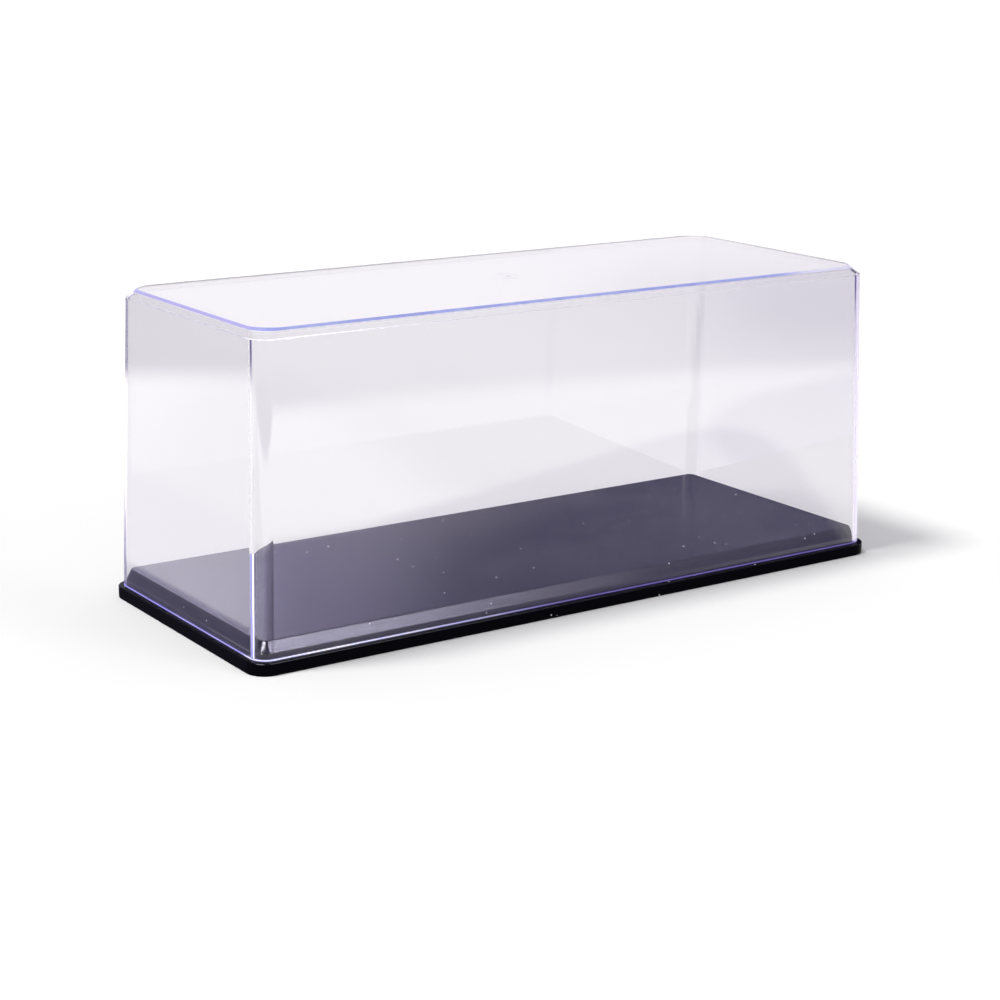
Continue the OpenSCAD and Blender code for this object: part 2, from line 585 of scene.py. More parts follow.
@dataclass
class Groups:
    """The node groups that the finishes share."""

    dust: bpy.types.NodeTree = field(default_factory=dust_group)
    haze: bpy.types.NodeTree = field(default_factory=haze_group)

    def specks(self, graph: Graph, place: Socket, scale: float, size: float, thinning: float) -> Socket:
        """Put specks of dust in a material.

        Args:
            graph: The material's graph.
            place: The position.
            scale: Cells in a metre.
            size: Largest radius of a speck, as a share of a cell.
            thinning: Share of the cells that stay empty.

        Returns:
            The mask of the specks.
        """
        values = {"Position": place, "Scale": scale, "Size": size, "Thinning": thinning}
        return graph.fed(graph.node("ShaderNodeGroup", node_tree=self.dust), values)

    def marks(self, graph: Graph, place: Socket, scale: float) -> Socket:
        """Put handling marks, or patches of painted glow, in a material and return their strength."""
        made = graph.node("ShaderNodeGroup", node_tree=self.haze)
        return graph.fed(made, {"Position": place, "Scale": scale})


def start_material(name: str) -> tuple[bpy.types.Material, Graph, Socket]:
    """Make a material and read the object's coordinates.

    Args:
        name: The material's name.

    Returns:
        The material, its graph and the coordinates.
    """
    material = bpy.data.materials.new(name)
    material.use_nodes = True
    graph = Graph(material.node_tree)
    return material, graph, graph.node("ShaderNodeTexCoord").outputs["Object"]


def end_material(graph: Graph, surface: Socket) -> None:
    """Give a material its surface."""
    graph.join(surface, graph.node("ShaderNodeOutputMaterial").inputs["Surface"])


def plastic(graph: Graph, values: dict[str, Value]) -> bpy.types.Node:
    """Add a Principled shader and set plain values or links on its own sockets.

    Args:
        graph: The material's graph.
        values: What feeds its inputs, by their names.

    Returns:
        The shader's node.
    """
    shader = graph.node("ShaderNodeBsdfPrincipled")
    graph.fed(shader, {"Metallic": 0.0, **values})
    return shader


def pass_light(graph: Graph, shader: Socket, passing: Value = (1.0, 1.0, 1.0)) -> Socket:
    """Swap a shader for a transparent one on rays that needn't bend.

    These are rays that only gather light, and rays that have already bounced
    off clear plastic often.

    Args:
        graph: The material's graph.
        shader: The shader for all other rays.
        passing: The colour that the light takes on.

    Returns:
        The shader for the surface.
    """
    most_bounces = 2.5
    path = graph.node("ShaderNodeLightPath")
    unseen = graph.math("MAXIMUM", path.outputs["Is Shadow Ray"], path.outputs["Is Diffuse Ray"])
    spent = graph.math("GREATER_THAN", path.outputs["Glossy Depth"], most_bounces)
    clear = graph.fed(graph.node("ShaderNodeBsdfTransparent"), {"Color": passing})
    return graph.mixed(graph.math("MAXIMUM", unseen, spent), shader, clear)


@dataclass(frozen=True)
class ClearPlastic:
    """Polished clear polystyrene, slightly violet, with a few specks of dust.

    Where it has a top colour, its colour turns to that between two heights: painted shade, the dark line
    that some upright corners show near the top.
    """

    name: str = "clear_polystyrene"
    tint: Colour = (0.942, 0.929, 0.953)
    shade: Colour = (0.97, 0.965, 0.98)
    slant_shade: Colour = (0.45, 0.44, 0.48)
    slant: Span = (0.1, 0.7)
    painted_top_shade: Colour | None = None
    top_from: Span = (0.108, 0.125)
    ior: float = 1.58
    dust: Triple = (260.0, 0.09, 0.99)
    dust_roughness: float = 0.1
    wave_scale: float = 9.0
    wave_height: float = 0.00002

    def material(self, groups: Groups) -> bpy.types.Material:
        """Build the material: a clear shader that lets lamp light through.

        Light from a lamp passes straight through, and less of it where it
        meets the surface at a slant.

        Args:
            groups: The shared node groups.

        Returns:
            The material.
        """
        material, graph, place = start_material(self.name)
        specks = groups.specks(graph, place, *self.dust)
        values = {
            "Base Color": self.tint,
            "IOR": self.ior,
            "Transmission Weight": 1.0,
            "Roughness": graph.ramp(specks, 0.0, 1.0, 0.0, self.dust_roughness),
            "Normal": graph.bump(graph.noise(place, self.wave_scale, 0.0), self.wave_height),
        }
        # Painted shade: the plastic turns dark between two heights near the top.
        if self.painted_top_shade:
            high = graph.ramp(graph.split(place)[2], *self.top_from)
            values["Base Color"] = graph.blend(high, self.tint, self.painted_top_shade)
        shader = plastic(graph, values)
        slant = graph.node("ShaderNodeLayerWeight").outputs["Facing"]
        passing = graph.blend(graph.ramp(slant, *self.slant), self.shade, self.slant_shade)
        end_material(graph, pass_light(graph, shader.outputs[0], passing))
        return material


@dataclass(frozen=True)
class LitEdge:
    """An edge of the clear plastic, where the light inside it gathers, shown as painted light: a tinted band
    that glows.

    Its painted colour runs from patch to patch between two tones along the front,
    and turns to a third one towards the right end and to a fourth one along
    the other sides. A tone that isn't given is the first one.
    """

    name: str
    front: Colour
    front_pale: Colour | None = None
    sides: Colour | None = None
    right: Colour | None = None
    glow: float = 0.0
    clearness: float = 0.0
    roughness: float = 0.3
    patch_scale: float = 60.0
    ior: float = 1.58
    sides_share: float = 1.0
    sides_from: Span = (-0.056, -0.047)
    right_from: Span = (-0.02, 0.15)

    def material(self, groups: Groups) -> bpy.types.Material:
        """Build the material: a tinted body that glows a little, as painted light.

        Args:
            groups: The shared node groups.

        Returns:
            The material.
        """
        material, graph, place = start_material(self.name)
        x, y, _ = graph.split(place)
        # Painted light: the glow's tone changes in patches along the front, towards the right end and along
        # the other sides.
        patches = groups.marks(graph, place, self.patch_scale)
        tone = graph.blend(patches, self.front, self.front_pale or self.front)
        tone = graph.blend(graph.ramp(x, *self.right_from), tone, self.right or self.front)
        beside = graph.ramp(y, *self.sides_from, 0.0, self.sides_share)
        tone = graph.blend(beside, tone, self.sides or self.front)
        values = {
            "Base Color": tone,
            "Roughness": self.roughness,
            "IOR": self.ior,
            "Transmission Weight": self.clearness,
            "Emission Color": tone,
            "Emission Strength": self.glow,
        }
        end_material(graph, pass_light(graph, plastic(graph, values).outputs[0]))
        return material


@dataclass(frozen=True)
class BlackPlastic:
    """Black polystyrene from a polished mould, with haze and specks of dust.

    Where it has a front shine, its shine turns to that along the front: a painted highlight.
    """

    name: str = "black_polystyrene"
    colour: Colour = (0.004, 0.0034, 0.009)
    dust_colour: Colour = (0.85, 0.84, 0.90)
    shine: float = 0.5
    front_highlight_shine: float | None = None
    front_from: Span = (-0.063, -0.058)
    smoothest: float = 0.08
    roughest: float = 0.16
    ior: float = 1.58
    dust: Triple = (330.0, 0.11, 0.91)
    haze_scale: float = 14.0
    grain_scale: float = 1500.0
    grain_height: float = 0.000004

    def material(self, groups: Groups) -> bpy.types.Material:
        """Build the material: black, glossy, hazed by handling and flecked with dust.

        Args:
            groups: The shared node groups.

        Returns:
            The material.
        """
        material, graph, place = start_material(self.name)
        specks = groups.specks(graph, place, *self.dust)
        marks = groups.marks(graph, place, self.haze_scale)
        even = graph.ramp(marks, 0.0, 1.0, self.smoothest, self.roughest)
        values = {
            "Base Color": graph.blend(specks, self.colour, self.dust_colour),
            "IOR": self.ior,
            "Specular IOR Level": self.shine,
            "Roughness": graph.math("MAXIMUM", even, specks),
            "Normal": graph.bump(graph.noise(place, self.grain_scale, 2.0), self.grain_height),
        }
        # Painted highlight: shinier along the front than on the other sides.
        if self.front_highlight_shine is not None:
            back = graph.split(place)[1]
            values["Specular IOR Level"] = graph.ramp(back, *self.front_from, self.front_highlight_shine, self.shine)
        end_material(graph, plastic(graph, values).outputs[0])
        return material


# ---------------------------------------------------------------- the case


@dataclass
class Outline:
    """The sizes that both mouldings share, read from the frame."""

    base_half: Vector
    cover_half: Vector
    rim_height: float
    deck_height: float
    case_height: float

    @classmethod
    def from_frame(cls) -> Outline:
        """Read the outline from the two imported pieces.

        Returns:
            The outline.
        """
        base_low, base_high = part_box("base")
        cover_low, cover_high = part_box("cover")
        return cls(
            base_half=(base_high - base_low) / 2,
            cover_half=(cover_high - cover_low) / 2,
            rim_height=cover_low.z,
            deck_height=base_high.z,
            case_height=cover_high.z,
        )

    @property
    def setback(self) -> float:
        """Distance from the base's edge in to the foot of the cover."""
        return self.base_half.x - self.cover_half.x


@dataclass(frozen=True)
class GateMark:
    """The gate's mark in the middle of the roof: a shallow dish and a trimmed stub."""

    margin: float = 1.0 * MM
    dish_radius: float = 5.0 * MM
    dish_depth: float = 0.03 * MM
    dish_slope: float = 1.2 * MM
    dish_rounding: float = 0.4 * MM
    floor_rounding: float = 0.8 * MM
    stub_radius: float = 1.3 * MM
    stub_height: float = 0.03 * MM
    stub_slope: float = 0.2 * MM
    stub_rounding: float = 0.12 * MM
    crown_radius: float = 0.1 * MM
    crown_height: float = 0.03 * MM

    def profile(self, top: float) -> Profile:
        """Work out the mark's profile, from the roof round it in to the stub's top.

        Args:
            top: Height of the roof.

        Returns:
            The profile, whose insets are distances from the middle.
        """
        floor = top - self.dish_depth
        stub_top = floor + self.stub_height
        return Profile.through(
            [
                Corner(self.dish_radius + self.margin, top),
                Corner(self.dish_radius, top, self.dish_rounding),
                Corner(self.dish_radius - self.dish_slope, floor, self.floor_rounding),
                Corner(self.stub_radius + self.stub_slope, floor, self.stub_rounding),
                Corner(self.stub_radius, stub_top, self.stub_rounding),
                Corner(self.crown_radius, stub_top + self.crown_height),
            ]
        )


class CoverBand(IntEnum):
    """The cover's profile, by the number of the corner that each part belongs to."""

    CEILING = 0
    CEILING_EDGE = 1
    INNER_SHOULDER = 2
    INNER_FOOT = 3
    OUTER_FOOT = 4
    # The foot's seam, the glow's seam and the two seams on the chamfer only bound bands of painted light and
    # shade.
    FOOT_SEAM = 5
    GLOW_SEAM = 6
    OUTER_SHOULDER = 7
    PALE_SEAM = 8
    CHAMFER_SEAM = 9
    ROOF_EDGE = 10
    ROOF = 11
    DISH_EDGE = 12


class CoverFinish(IntEnum):
    """The cover's finishes, by the index of their material; all but the clear one are painted light or
    shade.
    """

    CLEAR = 0
    ROOF_LINE = 1
    FOOT_LINE = 2
    SHOULDER = 3
    STRIP = 4
    CORNER = 5
    PALE_CORNER = 6
    LEFT_CORNER = 7
    LILAC_CORNER = 8


@dataclass
class Cover:
    """The clear cover: leaning walls, a chamfered roof and a gate mark in its middle.

    The painted lines in its upright corners, of dark shade near the top and of glowing light,
    are given as numbers of columns of faces, counted round the case from the back right corner.
    """

    outline: Outline
    mark: GateMark = GateMark()
    wall: float = 2.0 * MM
    draft: float = float(np.radians(1.65))
    corner_radius: float = 7.0 * MM
    roof_corner_radius: float = 11.0 * MM
    radius_ease: float = 0.5 * MM
    chamfer_drop: float = 3.8 * MM
    chamfer_run: float = 2.6 * MM
    edge_rounding: float = 0.5 * MM
    foot_rounding: float = 0.3 * MM
    inner_rounding: float = 0.6 * MM
    # Heights and columns of the bands of painted light and shade.
    lit_foot: float = 0.45 * MM
    lit_corner: float = 42.0 * MM
    lit_chamfer: float = 1.25 * MM
    painted_strip_chamfer: float = 0.4 * MM
    corner_steps: int = 32
    left_shade_columns: tuple[int, ...] = (60, 61, 62, 63, 64)
    lilac_glow_columns: tuple[int, ...] = (68, 69, 70, 71)
    painted_glow_columns: tuple[int, ...] = (72, 73)
    painted_shade_columns: tuple[int, ...] = (71, 72, 73, 99, 100, 101)
    painted_light_columns: tuple[int, ...] = tuple(range(102, 118))

    @property
    def lean(self) -> float:
        """How far the walls lean in for each metre of height."""
        return float(np.tan(self.draft))

    def profile(self) -> Profile:
        """Work out the profile, from the ceiling down the inside and up the outside.

        The painted lit line and the painted pale strip on the chamfer are measured along it from
        the roof's edge, so their seams lie at a share of its run and its drop.

        Returns:
            The profile, with one corner for each band.
        """
        top, foot = self.outline.case_height, self.outline.rim_height
        shoulder = top - self.chamfer_drop
        inner_drop, inner_run = inner_chamfer(self.chamfer_drop, self.chamfer_run, self.wall)
        inner_shoulder, ceiling = shoulder - inner_drop, top - self.wall
        outer_in = (shoulder - foot) * self.lean
        inner_in = (inner_shoulder - foot) * self.lean + self.wall
        flat = outer_in + self.chamfer_run
        slant = float(np.hypot(self.chamfer_drop, self.chamfer_run))
        lit = self.lit_chamfer / slant
        pale = lit + self.painted_strip_chamfer / slant
        return Profile.through(
            [
                Corner(inner_in + inner_run + LEVEL_START * self.inner_rounding, ceiling),
                Corner(inner_in + inner_run, ceiling, self.inner_rounding),
                Corner(inner_in, inner_shoulder, self.inner_rounding),
                Corner(self.wall, foot, self.foot_rounding),
                Corner(0.0, foot, self.foot_rounding),
                Corner(self.lit_foot * self.lean, foot + self.lit_foot),
                Corner(self.lit_corner * self.lean, foot + self.lit_corner),
                Corner(outer_in, shoulder, self.edge_rounding),
                Corner(flat - pale * self.chamfer_run, top - pale * self.chamfer_drop),
                Corner(flat - lit * self.chamfer_run, top - lit * self.chamfer_drop),
                Corner(flat, top, self.edge_rounding),
                Corner(flat + LEVEL_START * self.edge_rounding, top),
            ]
        )

    def radius_at(self, inside: bool, inset: np.ndarray) -> np.ndarray:
        """Give the outline's corner radius at an inset, wider towards the roof.

        Args:
            inside: Whether the inset is one of the inside.
            inset: Where to evaluate.

        Returns:
            The radius at each inset.
        """
        less = self.wall if inside else 0.0
        wall_height = self.outline.case_height - self.outline.rim_height - self.chamfer_drop
        start = self.lean * wall_height + less
        rise = eased(inset, start - self.radius_ease, start + self.chamfer_run + self.radius_ease)
        return self.corner_radius - less + (self.roof_corner_radius - self.corner_radius) * rise

    def skin(self) -> Skin:
        """Join the inner rings, the outer rings and the gate mark into one skin.

        Returns:
            The whole skin.
        """
        half, last_inside = self.outline.cover_half, CoverBand.INNER_FOOT
        shell = Skin.both_sides(self.profile(), last_inside, half, self.radius_at, self.corner_steps)
        mark = self.mark.profile(self.outline.case_height)
        return shell.then(Skin.turned(mark, shell.points.shape[1], CoverBand.DISH_EDGE))

    def finish_at(self, before: np.ndarray, after: np.ndarray, column: np.ndarray) -> np.ndarray:
        """Choose each face's finish.

        Near its foot, the front left corner's line is lit, with a lilac line
        beside it. These, the dark and pale corner lines and the lines along the edges
        are painted light and shade. Where two finishes meet, the one listed first is taken.

        Args:
            before: The band of the face's first edge.
            after: The band of its other edge.
            column: Its place round the ring.

        Returns:
            The index of each face's material.
        """
        low = before == CoverBand.FOOT_SEAM
        wall = low | (before == CoverBand.GLOW_SEAM)
        foot = (before >= CoverBand.INNER_FOOT) & (after <= CoverBand.FOOT_SEAM)
        roof = (before >= CoverBand.CHAMFER_SEAM) & (after <= CoverBand.ROOF_EDGE)
        parts = {
            CoverFinish.ROOF_LINE: roof,
            CoverFinish.FOOT_LINE: foot | (low & np.isin(column, self.painted_glow_columns)),
            CoverFinish.SHOULDER: (before == CoverBand.OUTER_SHOULDER) & (after == CoverBand.OUTER_SHOULDER),
            CoverFinish.STRIP: (before == CoverBand.PALE_SEAM) & (after == CoverBand.CHAMFER_SEAM),
            CoverFinish.LILAC_CORNER: low & np.isin(column, self.lilac_glow_columns),
            CoverFinish.CORNER: wall & np.isin(column, self.painted_shade_columns),
            CoverFinish.PALE_CORNER: wall & np.isin(column, self.painted_light_columns),
            CoverFinish.LEFT_CORNER: wall & np.isin(column, self.left_shade_columns),
        }
        return np.select(list(parts.values()), [int(part) for part in parts], int(CoverFinish.CLEAR))

    def build(self, finishes: dict[CoverFinish, bpy.types.Material]) -> bpy.types.Object:
        """Make the cover, dress its edges and seat it on the frame.

        Args:
            finishes: The material of each finish.

        Returns:
            The cover's object.
        """
        piece = self.skin().build("clear_cover", self.finish_at)
        for part in CoverFinish:
            piece.data.materials.append(finishes[part])
        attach(piece, "cover")
        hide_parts("cover")
        log.info("clear_cover: %d faces", len(piece.data.polygons))
        return piece


class BaseBand(IntEnum):
    """The base's profile, by the numbers of the corners that finishes change at."""

    INNER_FOOT = 5
    OUTER_FOOT = 6
    RIM_EDGE = 7
    LEDGE_END = 8


class BaseFinish(IntEnum):
    """The base's finishes, by the index of their material; the rim's are darker copies of the body's, as
    painted shade.
    """

    BODY = 0
    RIM = 1
    RIM_EDGE = 2


@dataclass
class Base:
    """The black base: a rim, a ledge for the cover, a raised deck, and its hollow underside."""

    outline: Outline
    cover_wall: float = 2.0 * MM
    fit_gap: float = 0.3 * MM
    wall: float = 2.0 * MM
    rim_corner_radius: float = 8.5 * MM
    deck_corner_radius: float = 4.7 * MM
    chamfer_drop: float = 4.6 * MM
    chamfer_run: float = 2.2 * MM
    tighter_from: float = 0.2 * MM
    tighter_inside: float = 0.6
    tighter_outside: float = 0.9
    rim_rounding: float = 0.45 * MM
    foot_rounding: float = 0.4 * MM
    deck_rounding: float = 0.5 * MM
    nook_rounding: float = 0.25 * MM
    rib_thickness: float = 1.2 * MM
    deck_rib_height: float = 3.0 * MM
    deck_rib_pitch: float = 42.0 * MM
    deck_rib_gap: float = 1.0 * MM
    deck_rib_lean: float = 0.15 * MM
    gusset_pitch: float = 28.0 * MM
    gusset_foot: float = 0.8 * MM
    gusset_lean: float = 0.1 * MM
    corner_steps: int = 24

    @property
    def deck_inset(self) -> float:
        """Distance from the base's edge in to the side of the deck."""
        return self.outline.setback + self.cover_wall + self.fit_gap

    def profile(self) -> Profile:
        """Work out the profile, from under the deck out to the rim and up to the deck.

        Returns:
            The profile.
        """
        top, ledge = self.outline.deck_height, self.outline.rim_height
        shoulder = top - self.chamfer_drop
        inner_drop, inner_run = inner_chamfer(self.chamfer_drop, self.chamfer_run, self.wall)
        side = self.deck_inset
        inner = side + self.wall
        return Profile.through(
            [
                Corner(inner + inner_run + LEVEL_START * self.deck_rounding, top - self.wall),
                Corner(inner + inner_run, top - self.wall, self.deck_rounding),
                Corner(inner, shoulder - inner_drop, self.deck_rounding),
                Corner(inner, ledge - self.wall, self.nook_rounding),
                Corner(self.wall, ledge - self.wall, self.nook_rounding),
                Corner(self.wall, 0.0, self.nook_rounding),
                Corner(0.0, 0.0, self.foot_rounding),
                Corner(0.0, ledge, self.rim_rounding),
                Corner(side, ledge, self.nook_rounding),
                Corner(side, shoulder, self.deck_rounding),
                Corner(side + self.chamfer_run, top, self.deck_rounding),
                Corner(side + self.chamfer_run + LEVEL_START * self.deck_rounding, top),
            ]
        )

    def radius_at(self, inside: bool, inset: np.ndarray) -> np.ndarray:
        """Give the outline's corner radius at an inset, from the rim in to the deck.

        Args:
            inside: Whether the inset is one of the inside.
            inset: Where to evaluate.

        Returns:
            The radius at each inset.
        """
        less, tighter = (self.wall, self.tighter_inside) if inside else (0.0, self.tighter_outside)
        deck = self.deck_inset + less
        rise = eased(inset, less + self.rim_rounding, deck - self.nook_rounding)
        further = np.clip(inset - deck - self.tighter_from, 0.0, self.chamfer_run)
        drop = self.rim_corner_radius - self.deck_corner_radius
        return self.rim_corner_radius - less - drop * rise - further * tighter

    def finish_at(self, before: np.ndarray, after: np.ndarray, _: np.ndarray) -> np.ndarray:
        """Choose each face's finish: one for the rim's edge, and one for its side and the ledge, both darker
        and less shiny than the body as painted shade.

        Args:
            before: The band of the face's first edge.
            after: The band of its other edge.

        Returns:
            The index of each face's material.
        """
        rim = (before >= BaseBand.OUTER_FOOT) & (after <= BaseBand.LEDGE_END)
        edge = (before == BaseBand.RIM_EDGE) & (after == BaseBand.RIM_EDGE)
        return np.select([edge, rim], [int(BaseFinish.RIM_EDGE), int(BaseFinish.RIM)], int(BaseFinish.BODY))

    def build(self, finishes: dict[BaseFinish, bpy.types.Material]) -> None:
        """Make the base and its ribs, dress them and seat them on the frame.

        Args:
            finishes: The material of each finish.
        """
        half, last_inside = self.outline.base_half, BaseBand.INNER_FOOT
        skin = Skin.both_sides(self.profile(), last_inside, half, self.radius_at, self.corner_steps)
        body = skin.build("black_base", self.finish_at)
        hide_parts("base")
        for piece in (body, self.ribs(), self.gussets()):
            for part in BaseFinish:
                piece.data.materials.append(finishes[part])
            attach(piece, "base")
            log.info("%s: %d faces", piece.name, len(piece.data.polygons))

    def ribs(self) -> bpy.types.Object:
        """Make the crossed ribs under the deck.

        Returns:
            The ribs' object.
        """
        half = self.outline.base_half
        inner = self.deck_inset + self.wall + self.deck_rib_gap
        top = self.outline.deck_height - self.wall / 2
        bottom = self.outline.deck_height - self.wall - self.deck_rib_height
        thin, tall, level = self.rib_thickness / 2, (top - bottom) / 2, (top + bottom) / 2
        x, y = (spread(2 * size, self.deck_rib_pitch) for size in half.xy)
        rows = [
            (rows_of(x, 0.0, level), (thin, half.y - inner, tall)),
            (rows_of(0.0, y, level), (half.x - inner, thin, tall)),
        ]
        return prisms("deck_ribs", rows, self.deck_rib_lean)

    def gussets(self) -> bpy.types.Object:
        """Make the small gussets that tie the rim to the ledge above it.

        Returns:
            The gussets' object.
        """
        half = self.outline.base_half
        x, y = (spread(2 * (size - self.deck_inset), self.gusset_pitch) for size in half.xy)
        top = self.outline.rim_height - self.wall / 2
        reach = (self.deck_inset + self.wall / 2) / 2
        middle = self.wall / 2 + reach
        thin, tall = self.rib_thickness / 2, (top - self.gusset_foot) / 2
        level = self.gusset_foot + tall
        rows = [(rows_of(x, side * (half.y - middle), level), (thin, reach, tall)) for side in (-1, 1)]
        rows += [(rows_of(side * (half.x - middle), y, level), (reach, thin, tall)) for side in (-1, 1)]
        return prisms("rim_gussets", rows, self.gusset_lean)


# ---------------------------------------------------------------- the studio


@dataclass
class Lamp:
    """A large soft lamp, by the direction that it stands in and the light that it gives."""

    name: str
    azimuth: float
    elevation: float
    spread: float
    strength: float
    distance: float = 2.0

    def build(self) -> None:
        """Make the lamp as a sun, unseen in reflections, so the floor is lit evenly."""
        light = bpy.data.lights.new(self.name, "SUN")
        light.energy, light.angle = self.strength, float(np.radians(self.spread))
        lamp = bpy.data.objects.new(self.name, light)
        turn, rise = np.radians(self.azimuth), np.radians(self.elevation)
        place = Vector((np.sin(turn) * np.cos(rise), np.cos(turn) * np.cos(rise), np.sin(rise)))
        lamp.location = place * self.distance
        lamp.rotation_mode = "QUATERNION"
        lamp.rotation_quaternion = (-place).to_track_quat("-Z", "Y")
        lamp.visible_glossy = lamp.visible_camera = lamp.visible_transmission = False
        bpy.context.scene.collection.objects.link(lamp)


@dataclass(frozen=True)
class Pane:
    """A bright pane in the room, soft at its edges.

    Its azimuth and its elevation are each a middle, how far it is full from
    there and how far it reaches, in degrees.
    """

    colour: Colour
    azimuth: Triple
    elevation: Triple


@dataclass(frozen=True)
class Line:
    """A soft line across the floor, where a share of x plus one of y goes from low to high."""

    of_x: float
    of_y: float
    low: float
    high: float


@dataclass(frozen=True)
class Patch:
    """A rounded patch of the floor with a soft edge.

    With power p, a point's reach is the p-th root of the summed p-th powers of
    its distances from the middle, each divided by the patch's half size. The
    patch ends where the reach goes from the edge's first value to its second.
    """

    middle: Span
    half: Span
    power: float
    edge: Span


@dataclass
class Spot:
    """A point of the floor in a material's graph, and the masks that read it."""

    graph: Graph
    x: Socket
    y: Socket

    def past(self, line: Line) -> Socket:
        """Return 1 beyond a line, and 0 before it.

        Args:
            line: The line.

        Returns:
            The mask.
        """
        across = self.graph.product(self.y, line.of_y)
        total = self.graph.math("ADD", self.graph.product(self.x, line.of_x), across)
        return self.graph.ramp(total, line.low, line.high)

    def before(self, *lines: Line) -> Value:
        """Return 1 before all of some lines, and 0 beyond one of them."""
        return self.graph.product(*(self.graph.math("SUBTRACT", 1.0, self.past(line)) for line in lines))

    def outside(self, patch: Patch) -> Socket:
        """Return 1 outside a patch, and 0 in it.

        Args:
            patch: The patch.

        Returns:
            The mask.
        """
        total: Value = 0.0
        for value, middle, half in zip((self.x, self.y), patch.middle, patch.half):
            share = self.graph.math("DIVIDE", self.graph.off(value, middle), half)
            total = self.graph.math("ADD", self.graph.math("POWER", share, patch.power), total)
        return self.graph.ramp(self.graph.math("POWER", total, 1.0 / patch.power), *patch.edge)


def reflected(graph: Graph) -> Socket:
    """Return 1 on a path that has met just one mirror surface, and 0 elsewhere."""
    path = graph.node("ShaderNodeLightPath")
    return graph.math("COMPARE", path.outputs["Glossy Depth"], 1.0, 0.5)


def seen(graph: Graph) -> Socket:
    """Return 1 on rays from the camera, mirrors and clear plastic, and 0 on others.

    Args:
        graph: The graph of the world or of a material.

    Returns:
        The mask.
    """
    path = graph.node("ShaderNodeLightPath")
    through = graph.math("MAXIMUM", path.outputs["Is Glossy Ray"], path.outputs["Is Transmission Ray"])
    return graph.math("MAXIMUM", path.outputs["Is Camera Ray"], through)


@dataclass(frozen=True)
class Room:
    """The room round the table: soft light, and panes that mirrors see.

    Azimuths are in degrees from the back of the case towards its right end. A
    low white sheet stands behind the table. Its top has an elevation of its
    own, and each rise lifts it by some degrees near an azimuth.
    """

    ambient: float = 0.40
    white: Colour = (1.0, 1.0, 1.0)
    wall: Colour = (0.015, 0.008, 0.11)
    sheet: Colour = (0.98, 0.95, 1.0)
    sheet_top: float = 4.0
    sheet_blur: float = 3.5
    sheet_rises: tuple[tuple[Triple, float], ...] = (((35.0, 35.0, 50.0), 7.0), ((10.0, 14.0, 30.0), 9.0))
    halo: Pane = Pane((0.70, 0.64, 1.0), (8.0, 20.5, 26.5), (27.0, 11.5, 13.5))
    window: Pane = Pane((1.45, 1.40, 1.85), (8.0, 18.5, 21.5), (27.0, 9.0, 14.0))
    softbox: Pane = Pane((12.5, 12.2, 15.0), (165.0, 11.0, 27.0), (26.0, 7.0, 11.0))
    strip: Pane = Pane((22.0, 22.0, 24.0), (-123.0, 16.0, 25.0), (28.0, 12.0, 17.0))

    def build(self) -> None:
        """Make the sky: white where it is seen, soft light, and the room in reflections."""
        world = bpy.data.worlds.new("soft_room")
        bpy.context.scene.world = world
        world.use_nodes = True
        world.cycles.sampling_method = "NONE"
        graph = Graph(world.node_tree)
        plain = graph.blend(seen(graph), (self.ambient,) * 3, self.white)
        colour = graph.blend(reflected(graph), plain, self.mirrored(graph))
        background = graph.fed(graph.node("ShaderNodeBackground"), {"Color": colour})
        graph.join(background, graph.node("ShaderNodeOutputWorld").inputs["Surface"])

    def mirrored(self, graph: Graph) -> Socket:
        """Paint what mirrors see above the table.

        The window, with a halo round it, stands on the sheet behind the case.
        The softbox stands to the right of the front, and the narrower strip to
        its left, before the corner.

        Args:
            graph: The world's graph.

        Returns:
            The colour in the direction that a ray goes.
        """
        x, y, z = graph.split(graph.node("ShaderNodeTexCoord").outputs["Generated"])
        azimuth = graph.azimuth(x, y)
        elevation = graph.math("DEGREES", graph.math("ARCSINE", z))
        top: Value = self.sheet_top
        for place, rise in self.sheet_rises:
            top = graph.math("ADD", top, graph.product(graph.near(azimuth, *place), rise))
        low = graph.ramp(graph.math("SUBTRACT", elevation, top), -self.sheet_blur, self.sheet_blur, 1.0, 0.0)
        colour = graph.blend(low, self.wall, self.sheet)
        for pane in (self.halo, self.window, self.softbox, self.strip):
            shown = graph.product(graph.near(azimuth, *pane.azimuth), graph.near(elevation, *pane.elevation))
            colour = graph.blend(shown, colour, pane.colour)
        return colour


